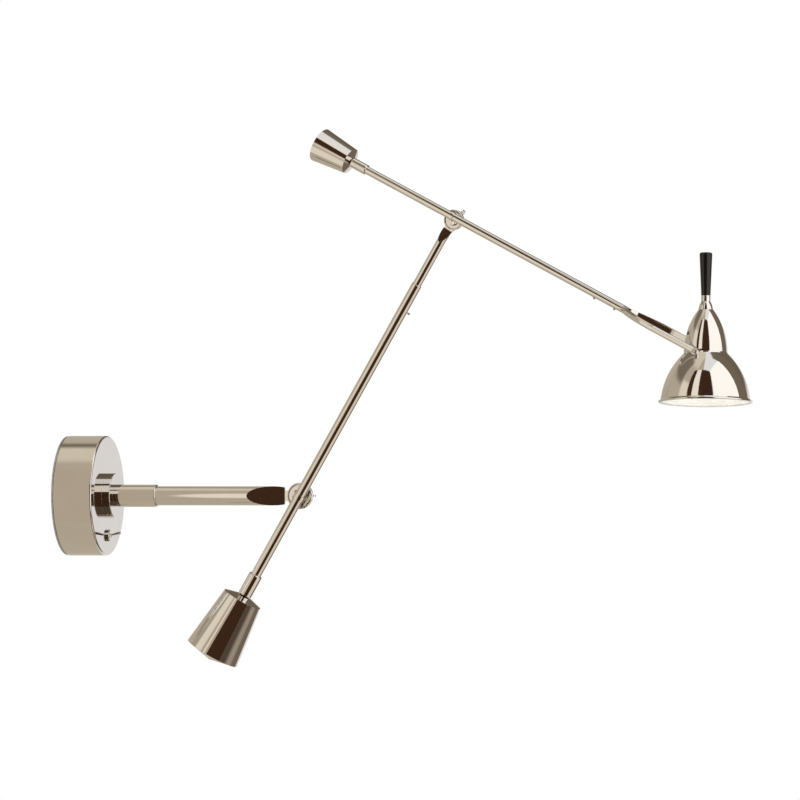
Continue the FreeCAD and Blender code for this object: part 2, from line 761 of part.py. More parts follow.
# ---------------------------------------------------------------------------
# Elbows.  Both have the same pieces; their names start with lower_ or upper_.
# In an elbow frame the near face of the housing is at y = 0 and its back at y = thickness.
# ---------------------------------------------------------------------------
def elbow_housing(part, frame, neck_front):
    """Dished round housing with a raised rim and a neck to the tube that carries it."""
    radius = part + "_housing_diameter / 2"
    thick = part + "_housing_thickness"
    dish = part + "_dish"
    rim = part + "_rim"
    bore = part + "_journal / 2 + running_fit"
    body = turned(part + "_housing", frame, [
        (dish, bore), (dish, "%s - %s * 1.4" % (radius, rim)), ("0.2", "%s - %s" % (radius, rim)),
        ("0", "%s - %s * 0.7" % (radius, rim)), ("0", "%s - 0.5" % radius), ("0.5", radius),
        (thick + " - 0.8", radius), (thick, radius + " - 0.8"), (thick, bore)], "y")
    half = part + "_neck_height / 2"
    end = "0 - %s - %s_neck" % (radius, part)
    inside = "0 - %s + %s" % (radius, rim)
    pad(body, "XZ_Plane", [
        (end, "0 - " + half), (inside, "0 - %s * 1.1" % half), (inside, half + " * 1.1"),
        (end, half)], "0 - " + thick, "%s - (%s)" % (thick, neck_front))
    return body


def elbow_hub(part, frame, tube):
    """Hub of a swinging arm: collar round the tube, boss and journal towards the housing."""
    floor = "%s_hub_rise + %s_dish" % (part, part)
    boss_end = floor + " - friction_washer"
    journal_end = "%s_hub_rise + %s_housing_thickness - seat_gap" % (part, part)
    height = part + "_offset" if part == "lower" else "0 - %s_offset" % part
    collar = tube + " / 2 + %s_collar_wall" % part
    body = new_body(part + "_hub", frame)
    cylinder(body, "Additive", "YZ_Plane", ("0", "0"), collar,
             "0 - %s_collar / 2" % part, part + "_collar")
    cylinder(body, "Additive", "XZ_Plane", ("0", height), part + "_boss / 2",
             "0 - (%s)" % boss_end, boss_end)
    cylinder(body, "Additive", "XZ_Plane", ("0", height), part + "_journal / 2",
             "0 - (%s)" % journal_end, "(%s) - (%s)" % (journal_end, boss_end))
    cylinder(body, "Subtractive", "YZ_Plane", ("0", "0"), tube + " / 2 + seat_fit",
             "0 - %s_collar" % part, "2 * %s_collar" % part)
    cylinder(body, "Subtractive", "XZ_Plane", ("0", height), part + "_bolt / 2 + running_fit",
             "0 - (%s) - 1" % journal_end, journal_end + " + 1 - %s / 2" % tube)
    saddle_cuts(body, part, collar)
    return body


def saddle_cuts(body, part, collar):
    """Sweep both ends of the collar in, so the hub is short in front and long behind."""
    front = "0 - (%s) - 1" % collar
    back = "%s + 1" % collar
    for sign, bulge in (("0 + ", 1), ("0 - ", -1)):
        narrow = "%s(%s_saddle / 2)" % (sign, part)
        wide = "%s(%s_collar / 2 + 0.6)" % (sign, part)
        outside = "%s%s_collar" % (sign, part)
        cut_through(body, "XY_Plane", [
            (narrow, front, part + "_saddle_curve", bulge), (wide, back),
            (outside, back), (outside, front)],
            "2 * (%s)" % collar, "4 * (%s)" % collar)


def elbow_washers(part, frame):
    """Friction washer in front of the housing and plain washer behind it."""
    dish = part + "_dish"
    journal = part + "_journal / 2"
    ring(part + "_friction_washer", frame, dish + " - friction_washer", dish,
         journal + " + seat_fit", part + "_boss / 2 + 0.6", "y")
    thick = part + "_housing_thickness"
    ring(part + "_back_washer", frame, thick, thick + " + back_washer",
         part + "_bolt / 2 + running_fit", journal + " + 2.4", "y")


def wing_screw(part, frame, tube):
    """Screw with two wings that clamps an elbow from behind."""
    seat = "%s_housing_thickness + back_washer" % part
    span = part + "_wing_span / 2"
    depth = part + "_wing_depth"
    tip = "%s / 2 + 1 - %s_hub_rise" % (tube, part)
    crown = seat + " + wing_collar_height + 1.5"
    bolt = part + "_bolt / 2"
    body = turned(part + "_wing_screw", frame, [
        (tip, "0"), (tip, bolt), (seat, bolt), (seat, "%s + 2.5" % bolt),
        (seat + " + wing_collar_height", "%s + 2.2" % bolt), (crown, "%s + 0.6" % bolt),
        (crown, "0")], "y")
    low = seat + " + 0.8"
    for sign, bulge in (("0 - ", 1), ("0 + ", -1)):
        inside = sign + "(%s - wing_round)" % span
        tip = sign + "(%s)" % span
        pad(body, "XY_Plane", [
            (sign + "1", low), (inside, low + " + 1", "wing_round", bulge),
            (tip, low + " + 1 + wing_round"),
            (tip, low + " + %s + 1 - wing_round" % depth, "wing_round", bulge),
            (inside, low + " + %s + 1" % depth), (sign + "1", crown)],
            "0 - wing_thickness / 2", "wing_thickness")
    return body


# ---------------------------------------------------------------------------
# Lower arm.
# ---------------------------------------------------------------------------
def lower_tube():
    """Outer tube, from the counterweight to the step where the inner tube comes out."""
    outer = "lower_tube_diameter / 2"
    inner = "inner_tube_diameter / 2 + running_fit"
    body = turned("lower_tube", LOWER_ARM, [
        ("0 - lower_tube_tail", inner), ("0 - lower_tube_tail", outer),
        ("lower_tube_end", outer), ("lower_tube_end", inner)])
    round_edges(body, rim_at(("lower_tube_end", outer)), "(%s - (%s)) * 0.8" % (outer, inner))
    cylinder(body, "Subtractive", "XY_Plane", ("lock_screw_place", "0"),
             "lock_screw_neck / 2 + seat_fit", "0 - lower_tube_diameter",
             "lower_tube_diameter")
    return body


def inner_tube():
    """Inner tube that turns in the outer one and ends in a slanted flat at the upper elbow."""
    start = "lower_tube_end - inner_tube_overlap"
    end = "lower_reach - upper_housing_diameter / 2 - upper_neck"
    outer = "inner_tube_diameter / 2"
    inner = "inner_tube_diameter / 2 - inner_tube_wall"
    bore_end = end + " - inner_tube_solid"
    body = turned("inner_tube", INNER_ARM, [
        (start, inner), (start, outer), (end + " - inner_flare_length", outer),
        (end, outer + " + inner_flare"), (end, "0"), (bore_end, "0"), (bore_end, inner)])
    scarf(body, end + " - inner_scarf", end, outer + " + inner_flare", "inner_scarf_rise")
    return body


def lock_screw():
    """Small ball-headed screw in the outer tube that checks the turning inner tube."""
    foot = "(inner_tube_diameter / 2 + running_fit + seat_gap)"
    neck = "lower_tube_diameter / 2 + lock_screw_rise"
    shank = solid_round("lock_shank", "lock_screw_neck / 2", "%s - %s" % (neck, foot),
                        ("lock_screw_place", "0", "0 - (%s)" % neck))
    ball = DOCUMENT.addObject("Part::Sphere", "lock_ball")
    ball.setExpression("Radius", bound("lock_screw_ball / 2"))
    ball.setExpression("Placement.Base.x", bound("lock_screw_place"))
    ball.setExpression("Placement.Base.z", bound("0 - (%s)" % neck))
    screw = joined("lower_lock_screw", [shank, ball])
    screw.Label = "lower_lock_screw"
    put(screw, LOWER_ARM)
    SUBPARTS.append(screw)


def counterweight(part, frame, tube):
    """Turned weight with shallow cones at both ends, its sleeve and the stud that joins them."""
    start = "0 - %s_weight_start" % part
    cone = start + " + %s_weight_cone" % part
    neck = part + "_weight_neck / 2"
    foot = start + " - %s_weight_length" % part
    stud = part + "_stud / 2"
    near = "0 - %s_sleeve_start" % part
    far = near + " - %s_sleeve_length" % part
    depth = "%s_weight_length * 0.4" % part
    tube_end = "0 - %s_tube_tail" % part
    turned(part + "_weight", frame, [
        (start + " - " + depth, "0"), (start + " - " + depth, stud + " + seat_fit"),
        (far, stud + " + seat_fit"), (far, neck), (cone, neck),
        (start, part + "_weight_small / 2"), (foot, part + "_weight_large / 2"),
        ("%s - %s_weight_base" % (foot, part), "0")])
    sleeve = turned(part + "_sleeve", frame, [
        (far, stud + " + seat_fit"), (far, part + "_sleeve_diameter / 2"),
        (near, part + "_sleeve_diameter / 2"), (near, tube + " / 2 + seat_fit"),
        (tube_end, tube + " / 2 + seat_fit"), (tube_end, stud + " + seat_fit")])
    round_edges(sleeve, rim_at((near, part + "_sleeve_diameter / 2")),
                "(%s_sleeve_diameter - %s) / 2 * 0.7" % (part, tube))
    turned(part + "_weight_stud", frame, [
        (start + " - %s + seat_gap" % depth, "0"), (start + " - %s + seat_gap" % depth, stud),
        (tube_end + " + 12", stud), (tube_end + " + 12", "0")])


# ---------------------------------------------------------------------------
# Upper arm.
# ---------------------------------------------------------------------------
def upper_tube():
    """Upper arm, one tube from its counterweight to the turning head."""
    outer = "upper_tube_diameter / 2"
    inner = "upper_tube_bore / 2"
    body = turned("upper_tube", UPPER_ARM, [
        ("0 - upper_tube_tail", inner), ("0 - upper_tube_tail", outer),
        ("upper_tube_end", outer), ("upper_tube_end", inner)])
    cylinder(body, "Subtractive", "XY_Plane", ("stop_screw_place", "0"),
             "lock_screw_neck / 2 + seat_fit", "0 - upper_tube_diameter",
             "upper_tube_diameter")
    return body


def under_screw(label, frame, place, depth):
    """Small round-headed screw on the underside of the upper arm or of the head's stub."""
    under = "(upper_tube_diameter / 2)"
    shank = solid_round(label + "_shank", "lock_screw_neck / 2", depth + " + 0.4",
                        (place, "0", "0 - %s - 0.4" % under))
    head = solid_round(label + "_head", "stop_screw_head / 2", "stop_screw_rise",
                       (place, "0", "0 - %s - stop_screw_rise" % under))
    screw = joined(label, [shank, head])
    screw.Label = label
    put(screw, frame)
    SUBPARTS.append(screw)


# ---------------------------------------------------------------------------
# Head fork.
# ---------------------------------------------------------------------------
def head_stub():
    """Turning stub at the end of the upper arm; its journal runs inside the tube."""
    start = "upper_tube_end + seat_gap"
    end = "upper_tube_end + stub_length"
    journal = "upper_tube_bore / 2 - running_fit"
    body = turned("head_stub", UPPER_ARM, [
        ("upper_tube_end - stub_journal_length", "0"),
        ("upper_tube_end - stub_journal_length", journal), (start, journal),
        (start, "upper_tube_diameter / 2"), (end, "upper_tube_diameter / 2"), (end, "0")])
    cylinder(body, "Subtractive", "XY_Plane", ("upper_tube_end + stub_screw_inset", "0"),
             "lock_screw_neck / 2 + seat_fit", "0 - upper_tube_diameter",
             "upper_tube_diameter - 2")
    return body


def head_fork():
    """Fork of two half-round prongs that spread from the stub and pass beside the shade."""
    root = "upper_tube_end + stub_length - upper_reach"
    bend = root + " + crotch_length / 2 + fork_curve"
    foot = root + " + crotch_length / 2"
    spread = "(fork_inner - fork_start)"
    curve = "(pow(fork_curve; 2) + pow(%s; 2)) / (2 * %s)" % (spread, spread)
    half = "prong_width / 2"
    bulge = "(pow(%s; 2) + pow(prong_thickness; 2)) / (2 * prong_thickness)" % half
    body = new_body("head_fork", FORK)
    cylinder(body, "Additive", "YZ_Plane", ("0", "0"), "upper_tube_diameter / 2",
             root, "crotch_length")
    for side, turn_side in (("0 + ", -1), ("0 - ", 1)):
        path = draw_outline(new_sketch(body, "XY_Plane"), [
            ("0", side + "fork_inner"),
            (bend, side + "fork_inner", curve, turn_side),
            (foot, side + "fork_start")], closed=False)
        section = draw_outline(new_sketch(body, "YZ_Plane"), [
            (side + "fork_inner", "0 - " + half),
            (side + "(fork_inner + prong_thickness / 2)", "0 - %s * 0.92" % half),
            (side + "(fork_inner + prong_thickness)", "0 - %s * 0.45" % half),
            (side + "(fork_inner + prong_thickness)", half + " * 0.45"),
            (side + "(fork_inner + prong_thickness / 2)", half + " * 0.92"),
            (side + "fork_inner", half)])
        pipe = body.newObject("PartDesign::AdditivePipe", "prong")
        pipe.Profile = section
        pipe.Spine = (path, ["Edge1", "Edge2"])
        eye_start = "0 - fork_inner - prong_thickness" if side == "0 + " else "fork_inner"
        cylinder(body, "Additive", "XZ_Plane", ("0", "0"), "prong_eye / 2",
                 eye_start, "prong_thickness")
    cylinder(body, "Subtractive", "XZ_Plane", ("0", "0"), "pin_diameter / 2 + seat_fit",
             "0 - fork_inner - 2 * prong_thickness", "2 * fork_inner + 4 * prong_thickness")
    return body


def pivot_screws():
    """Two screws through the prong ends, on which the shade tilts."""
    screws = []
    outside = "(fork_inner + prong_thickness)"
    inside = "(bush_inner + 1)"
    for start, head in (("0 + " + inside, outside), ("0 - " + outside,
                                                    "0 - %s - pin_head_height" % outside)):
        shank = solid_round("pivot_shank", "pin_diameter / 2", "%s - %s" % (outside, inside),
                            ("0", start, "0"), Vector(1, 0, 0), "0 - 90")
        top = solid_round("pivot_head", "pin_head / 2", "pin_head_height",
                          ("0", head, "0"), Vector(1, 0, 0), "0 - 90")
        screws.append(joined("pivot_screw_solid", [shank, top]))
    return group("shade_pivot_screws", FORK, screws)


# ---------------------------------------------------------------------------
# Shade.
# ---------------------------------------------------------------------------
def pivot_holes(body):
    """Holes for the two bushes through the shade's waist."""
    cylinder(body, "Subtractive", "XZ_Plane", ("0", "0"),
             "bush_diameter / 2 + seat_fit", "0 - 2 * fork_inner", "4 * fork_inner")


def shade_dome():
    """Upper half of the shade, a pointed dome with the bushes in its foot."""
    wall = "shade_wall"
    body = turned("shade_dome", SHADE, [
        ("dome_foot", "dome_radius - " + wall), ("dome_foot", "dome_radius", "dome_curve", 1),
        ("dome_top", "dome_top_radius"), ("dome_top", "nipple_diameter / 2 + seat_fit"),
        ("dome_top - " + wall, "nipple_diameter / 2 + seat_fit"),
        ("dome_top - " + wall, "dome_top_radius - 0.4 * " + wall, "dome_curve - " + wall, -1)])
    pivot_holes(body)
    return body


def shade_bell():
    """Lower half of the shade, a flared bell with a rolled rim."""
    wall = "shade_wall"
    bead = "rim_bead / 2"
    body = turned("shade_bell", SHADE, [
        ("dome_foot", "dome_radius - " + wall), ("dome_foot", "dome_radius"),
        ("bell_shoulder", "bell_shoulder_radius", "bell_curve", -1),
        ("bell_foot", "bell_foot_radius"), ("rim_height + " + bead, "rim_radius - 0.8"),
        ("rim_height + " + bead, "rim_radius", bead + " + 0.0001", -1),
        ("rim_height - " + bead, "rim_radius"),
        ("rim_height - " + bead, "bell_foot_radius - " + wall),
        ("bell_foot", "bell_foot_radius - " + wall, "bell_curve - " + wall, 1),
        ("bell_shoulder - " + wall, "bell_shoulder_radius - " + wall)])
    pivot_holes(body)
    return body


def shade_linings():
    """Painted skins inside both halves of the shade."""
    bell = "shade_wall + lining_gap"
    inside = bell + " + lining_skin"
    curve = "bell_curve - shade_wall"
    top = "bell_shoulder - shade_wall"
    lining = turned("bell_lining", SHADE, [
        (top, "bell_shoulder_radius - (%s)" % inside),
        (top, "bell_shoulder_radius - (%s)" % bell, curve, -1),
        ("bell_foot", "bell_foot_radius - (%s)" % bell),
        ("rim_height", "bell_foot_radius - (%s)" % bell),
        ("rim_height", "bell_foot_radius - (%s)" % inside),
        ("bell_foot", "bell_foot_radius - (%s)" % inside, curve, 1)])
    pivot_holes(lining)
    curve = "dome_curve - shade_wall"
    top = "dome_top - shade_wall"
    edge = "dome_top_radius - 0.4 * shade_wall"
    lining = turned("dome_lining", SHADE, [
        ("dome_foot", "dome_radius - (%s)" % inside),
        ("dome_foot", "dome_radius - (%s)" % bell, curve, 1),
        (top, edge + " - lining_gap"),
        (top, edge + " - lining_gap - lining_skin", curve, -1)])
    pivot_holes(lining)


def pivot_bushes():
    """Two bushes in the shade's waist that run on the pivot screws."""
    body_pair = []
    length = "fork_inner - seat_gap - bush_inner"
    for start in ("0 + bush_inner", "0 - fork_inner + seat_gap"):
        place = ("0", start, "0")
        outer = solid_round("bush_outer", "bush_diameter / 2", length, place,
                            Vector(1, 0, 0), "0 - 90")
        bore = solid_round("bush_bore", "pin_diameter / 2 + running_fit", length, place,
                           Vector(1, 0, 0), "0 - 90")
        bush = DOCUMENT.addObject("Part::Cut", "bush_solid")
        bush.Base = outer
        bush.Tool = bore
        body_pair.append(bush)
    return group("shade_pivot_bushes", SHADE, body_pair)


def shade_top():
    """Flared cap with its ferrule, the handle, and the stud that holds the handle."""
    stud = "handle_stud / 2 + seat_fit"
    turned("shade_cap", SHADE, [
        ("dome_top", "nipple_diameter / 2 + seat_fit"), ("dome_top", "cap_base_radius"),
        ("cap_base_height", "cap_base_radius", "cap_curve", 1),
        ("ferrule_foot", "ferrule_radius"), ("handle_foot", "ferrule_radius"),
        ("handle_foot", stud), ("ferrule_foot - 1", stud),
        ("ferrule_foot - 1", "nipple_diameter / 2 + seat_fit")])
    depth = "handle_foot + handle_stud_length"
    handle = turned("handle", SHADE, [
        ("handle_foot", stud), ("handle_foot", "ferrule_radius"),
        ("handle_top", "handle_top_radius"), ("handle_top", "0"), (depth, "0"), (depth, stud)])
    round_edges(handle, rim_at(("handle_top", "handle_top_radius")), "handle_round")
    start = "ferrule_foot - 1"
    turned("handle_stud_bolt", SHADE, [
        (start, "0"), (start, "handle_stud / 2"), (depth + " - seat_gap", "handle_stud / 2"),
        (depth + " - seat_gap", "0")])


def lamp_pieces():
    """Nipple, nut, lamp holder and bulb inside the shade."""
    bore = "holder_diameter / 2 - holder_wall"
    inside = "dome_top - shade_wall"
    ring("shade_nipple", SHADE, "holder_top - 4", "ferrule_foot - 1 - seat_gap",
         "nipple_bore / 2", "nipple_diameter / 2")
    ring("nipple_nut", SHADE, inside + " - cap_nut_height", inside,
         "nipple_diameter / 2 + seat_fit", "cap_nut_diameter / 2")
    turned("lamp_holder", SHADE, [
        ("holder_foot", bore), ("holder_foot", "holder_diameter / 2"),
        ("holder_top - 6", "holder_diameter / 2"), ("holder_top", "holder_diameter / 2 - 4"),
        ("holder_top", "nipple_diameter / 2 + seat_fit"),
        ("holder_top - 4", "nipple_diameter / 2 + seat_fit"), ("holder_top - 4", bore)])
    cap = "bulb_base_diameter / 2"
    turned("bulb_base", SHADE, [
        ("bulb_neck_height", "0"), ("bulb_neck_height", cap), ("bulb_base_top", cap),
        ("bulb_base_top + 2.5", "3"), ("bulb_base_top + 2.5", "0")])
    globe = "bulb_diameter / 2"
    neck = "(sqrt(pow(%s; 2) - pow(%s + 1.5; 2)))" % (globe, cap)
    turned("bulb_globe", SHADE, [
        ("bulb_centre - " + globe, "0", globe, 1), ("bulb_centre", globe, globe, 1),
        ("bulb_centre + " + neck, cap + " + 1.5"), ("bulb_neck_height", cap),
        ("bulb_neck_height", "0")])


# ---------------------------------------------------------------------------
# The whole lamp.
# ---------------------------------------------------------------------------
def build_lamp():
    """Every sub-part, from the wall to the shade."""
    wall_plate()
    bridge_bracket()
    bridge_screws()
    canopy_shell()
    mounting_flange()
    flange_set_screw()
    stem_pieces()
    arm_socket()
    socket_grub_screw()
    terminal_block()
    switch_pieces()
    switch_lever()
    wall_tube()
    elbow_housing("lower", LOWER_ELBOW, "2.5")
    elbow_washers("lower", LOWER_ELBOW)
    wing_screw("lower", LOWER_WING, "lower_tube_diameter")
    elbow_hub("lower", LOWER_ARM, "lower_tube_diameter")
    lower_tube()
    ring("thrust_bush_ring", LOWER_ARM,
         "lower_tube_end - inner_tube_overlap - seat_gap - thrust_bush",
         "lower_tube_end - inner_tube_overlap - seat_gap",
         "inner_tube_diameter / 2 - inner_tube_wall", "inner_tube_diameter / 2 + seat_fit")
    lock_screw()
    counterweight("lower", LOWER_ARM, "lower_tube_diameter")
    inner_tube()
    elbow_housing("upper", UPPER_ELBOW, "0.8")
    elbow_washers("upper", UPPER_ELBOW)
    wing_screw("upper", UPPER_WING, "upper_tube_diameter")
    elbow_hub("upper", UPPER_ARM, "upper_tube_diameter")
    upper_tube()
    counterweight("upper", UPPER_ARM, "upper_tube_diameter")
    under_screw("roll_stop_screw", UPPER_ARM, "stop_screw_place", "1")
    head_stub()
    under_screw("stub_screw", UPPER_ARM, "upper_tube_end + stub_screw_inset", "2")
    head_fork()
    pivot_screws()
    shade_dome()
    shade_bell()
    shade_linings()
    pivot_bushes()
    shade_top()
    lamp_pieces()


def check_document():
    """Stop if any object failed or any sub-part has no sound shape."""
    for item in DOCUMENT.Objects:
        if "Invalid" in item.State or "Error" in item.State:
            raise RuntimeError("%s failed: %s" % (item.Label, item.State))
    for piece in SUBPARTS:
        shape = piece.Shape
        if shape.isNull() or not shape.isValid() or not shape.Solids:
            raise RuntimeError("%s has no sound shape" % piece.Label)


def write_parts():
    """Write each sub-part to its own file."""
    os.makedirs("parts", exist_ok=True)
    for piece in SUBPARTS:
        piece.Shape.exportStep(os.path.join("parts", piece.Label + ".step"))
        print("%-22s %10.1f mm3  %d solid(s)" % (
            piece.Label, piece.Shape.Volume, len(piece.Shape.Solids)))


fill_sheet()
build_lamp()
DOCUMENT.recompute()
check_document()
write_parts()
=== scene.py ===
# %% [markdown]
# # An articulating wall lamp in polished nickel
# The real lamp is a round canopy on the wall, a fixed arm, two hinged arms with
# counterweights, and a bell shade in a fork.  Its solids come from the CAD model, so this
# lesson doesn't model them again.  It gives every piece its finish, adds what only a
# picture needs, and sets up the studio and the camera.

# %% Load the lamp
import json
import math

import bpy
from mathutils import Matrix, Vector

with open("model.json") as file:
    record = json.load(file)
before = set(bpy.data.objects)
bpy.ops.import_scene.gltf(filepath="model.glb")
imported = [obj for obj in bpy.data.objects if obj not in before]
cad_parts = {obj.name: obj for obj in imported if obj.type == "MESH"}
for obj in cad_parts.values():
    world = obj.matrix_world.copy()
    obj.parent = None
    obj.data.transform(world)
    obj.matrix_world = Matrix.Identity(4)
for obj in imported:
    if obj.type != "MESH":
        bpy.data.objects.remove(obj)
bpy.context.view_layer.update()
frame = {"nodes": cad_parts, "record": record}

NODES = frame["nodes"]
print("pieces from the CAD model:", len(NODES))

# %% [markdown]
# ## Helpers for node trees
# Each finish is a small node tree, and so is the world.  A node tree is easier to read when
# it is written as "this feeds that", so four helpers do most of the work: one starts a
# finish with its shader, one gives a socket its value, one adds a node, and one blends two
# colours.  Numbers that are the same all over a surface go straight onto the shader.  Only
# what varies over the surface comes from texture nodes.

# %% Helpers for node trees
def start_finish(name, **shader_values):
    """A new material with a Principled shader, its constants set on the shader itself."""
    finish = bpy.data.materials.new(name)
    finish.use_nodes = True
    shader = finish.node_tree.nodes["Principled BSDF"]
    for socket, value in shader_values.items():
        shader.inputs[socket.replace("_", " ")].default_value = value
    return finish, shader


def feed(owner, socket, value):
    """Link a socket to another node's output, or set it to a plain value."""
    if isinstance(value, bpy.types.NodeSocket):
        owner.node_tree.links.new(value, socket)
    else:
        socket.default_value = value


def add_node(owner, kind, **values):
    """Add a node; a name in values is an input, or a setting where no input has that name."""
    node = owner.node_tree.nodes.new(kind)
    for key, value in values.items():
        name = key.replace("_", " ")
        if name in node.inputs:
            feed(owner, node.inputs[name], value)
        else:
            setattr(node, key, value)
    return node


def blend_colours(owner, factor, first, second):
    """The first colour where the factor is 0, and the second where it is 1."""
    mix = add_node(owner, "ShaderNodeMix", data_type="RGBA")
    feed(owner, mix.inputs["Factor"], factor)
    colour_inputs = [socket for socket in mix.inputs if socket.type == "RGBA"]
    for socket, colour in zip(colour_inputs, (first, second)):
        feed(owner, socket, colour)
    return next(socket for socket in mix.outputs if socket.type == "RGBA")


print("helpers: start_finish, feed, add_node, blend_colours")

# %% [markdown]
# ## Helpers for surfaces
# No real surface is the same all over.  The cheapest way to show that is a noise that is
# fixed to the piece: it can move the roughness, tint the colour, or tilt the surface by a
# bump.  A bump only changes the shading, so it is kept for marks too small to model.

# %% Helpers for surfaces
def noise_pattern(finish, scale, detail):
    """A soft random pattern that is fixed to the piece, from 0 to 1."""
    place = add_node(finish, "ShaderNodeTexCoord").outputs["Object"]
    texture = add_node(finish, "ShaderNodeTexNoise", Vector=place, Scale=scale, Detail=detail)
    return texture.outputs["Fac"]


def vary_roughness(finish, shader, pattern, low, high):
    """Let a pattern move the roughness between low and high."""
    spread = add_node(finish, "ShaderNodeMapRange", Value=pattern, To_Min=low, To_Max=high)
    feed(finish, shader.inputs["Roughness"], spread.outputs["Result"])


def add_bump(finish, shader, pattern, strength, depth, **extra):
    """Let a pattern tilt the shading, as if the surface were up to depth metres uneven."""
    bump = add_node(finish, "ShaderNodeBump", Height=pattern, Strength=strength,
                    Distance=depth, **extra)
    feed(finish, shader.inputs["Normal"], bump.outputs["Normal"])


print("helpers: noise_pattern, vary_roughness, add_bump")

# %% [markdown]
# ## Polished nickel
# Nickel plate is a mirror with a faint warm tint.  What tells the eye that it is metal, and
# not a perfect mirror, is the polishing: very fine lines, and a haze that comes and goes.
# So the roughness follows a soft noise, and a much finer one gives a bump too low to see
# as bumps.  The colour varies by a few percent, as plate does over a buffed base.  Buffing
# also takes the sharpness off every edge, so the shading turns softly over a fifth of a
# millimetre there, and each edge catches a thin line of light.
#
# Two more finishes come from the same recipe.  The wing screws are handled, so their haze
# is stronger.  The fork is a pair of thin half-round prongs, buffed until no edge is left:
# its shading turns over almost a millimetre, and it has no lines, which at its size would
# only look like grain.

# %% Polished nickel
NICKEL_PALE = (0.760, 0.735, 0.700, 1)
NICKEL_WARM = (0.715, 0.680, 0.635, 1)
EDGE_ROUND = 0.0002
EDGE_ROUND_ROD = 0.0009
EDGE_SAMPLES = 6
HAZE_SCALE = 38.0
LINE_SCALE = 900.0
LINE_DEPTH = 0.0002


def polished_nickel(name, haze=(0.035, 0.075), line_height=0.006, edge_round=EDGE_ROUND):
    """Mirror nickel with a wandering haze and fine polishing lines."""
    finish, shader = start_finish(name, Metallic=1.0)
    cloud = noise_pattern(finish, HAZE_SCALE, detail=5.0)
    vary_roughness(finish, shader, cloud, *haze)
    feed(finish, shader.inputs["Base Color"],
         blend_colours(finish, cloud, NICKEL_PALE, NICKEL_WARM))
    edge = add_node(finish, "ShaderNodeBevel", samples=EDGE_SAMPLES, Radius=edge_round)
    add_bump(finish, shader, noise_pattern(finish, LINE_SCALE, detail=2.0), line_height,
             LINE_DEPTH, Normal=edge.outputs["Normal"])
    return finish


NICKEL = polished_nickel("nickel_polished")
NICKEL_HAND = polished_nickel("nickel_handled", haze=(0.06, 0.16), line_height=0.04)
NICKEL_ROD = polished_nickel("nickel_rod", line_height=0.0, edge_round=EDGE_ROUND_ROD)
print("nickel finishes:", NICKEL.name, NICKEL_HAND.name, NICKEL_ROD.name)

# %% [markdown]
# ## Finishes of the hidden and small pieces
# Machined steel shows turning marks, zinc plate has a dull spangle, turned brass is warmer,
# pressed fibre is dull, and mouldings have a soft gloss with a faint ripple.  At the size
# they have here, one recipe can stand for all: a base colour that moves between two shades,
# a range of roughness, and a bump, all three after one noise.

# %% Finishes of the small pieces
RAMP_START = 0.3
RAMP_END = 0.7
GRAIN_DEPTH = 0.0003


def plain_finish(name, shade_a, shade_b, rough, grain, metal=0.0, bump=0.05, **extra):
    """A finish whose colour, roughness and bump follow one noise of the given grain."""
    finish, shader = start_finish(name, Metallic=metal, **extra)
    pattern = noise_pattern(finish, grain, detail=6.0)
    ramp = add_node(finish, "ShaderNodeValToRGB", Fac=pattern)
    start, end = ramp.color_ramp.elements
    start.color = shade_a + (1,)
    start.position = RAMP_START
    end.color = shade_b + (1,)
    end.position = RAMP_END
    feed(finish, shader.inputs["Base Color"], ramp.outputs["Color"])
    vary_roughness(finish, shader, pattern, *rough)
    add_bump(finish, shader, pattern, bump, GRAIN_DEPTH)
    return finish


# each: name, two shades, roughness from and to, grain
STEEL = plain_finish("machined_steel", (0.56, 0.54, 0.50), (0.66, 0.64, 0.60),
                     (0.16, 0.28), 420.0, metal=1.0)
ZINC = plain_finish("zinc_plate", (0.50, 0.52, 0.54), (0.64, 0.65, 0.66),
                    (0.30, 0.45), 160.0, metal=1.0, bump=0.1)
BRASS = plain_finish("turned_brass", (0.72, 0.55, 0.27), (0.82, 0.66, 0.36),
                     (0.18, 0.30), 260.0, metal=1.0)
FIBRE = plain_finish("pressed_fibre", (0.10, 0.075, 0.06), (0.17, 0.13, 0.10),
                     (0.75, 0.9), 700.0, bump=0.3)
SWITCH_PLASTIC = plain_finish("moulded_plastic", (0.80, 0.79, 0.75), (0.86, 0.85, 0.81),
                              (0.35, 0.45), 90.0)
HOLDER_WHITE = plain_finish("holder_moulding", (0.80, 0.78, 0.73), (0.86, 0.84, 0.80),
                            (0.28, 0.38), 60.0)
ENAMEL = plain_finish("white_enamel", (0.92, 0.915, 0.89), (0.95, 0.945, 0.93),
                      (0.22, 0.34), 40.0, bump=0.02, Coat_Weight=0.3)
BULB_CAP = plain_finish("bulb_cap_metal", (0.62, 0.62, 0.61), (0.76, 0.76, 0.75),
                        (0.22, 0.35), 300.0, metal=1.0)
BLACK_HANDLE = plain_finish("handle_lacquer", (0.006, 0.004, 0.003), (0.012, 0.008, 0.006),
                            (0.07, 0.12), 45.0, bump=0.01, IOR=1.45)
SMALL_FINISHES = (STEEL, ZINC, BRASS, FIBRE, SWITCH_PLASTIC, HOLDER_WHITE, ENAMEL, BULB_CAP,
                  BLACK_HANDLE)
print("small finishes:", *(finish.name for finish in SMALL_FINISHES))

# %% [markdown]
# ## Frosted glass of the bulb
# The globe is opal glass.  Some light goes through and most is scattered, so the shader
# mixes transmission with subsurface scatter, and a fine noise makes the frosting uneven.
# The photograph doesn't show whether the bulb is lit, so its faint glow is a guess.

# %% Frosted glass
SCATTER_REACH = 0.01
FROST_SCALE = 500.0


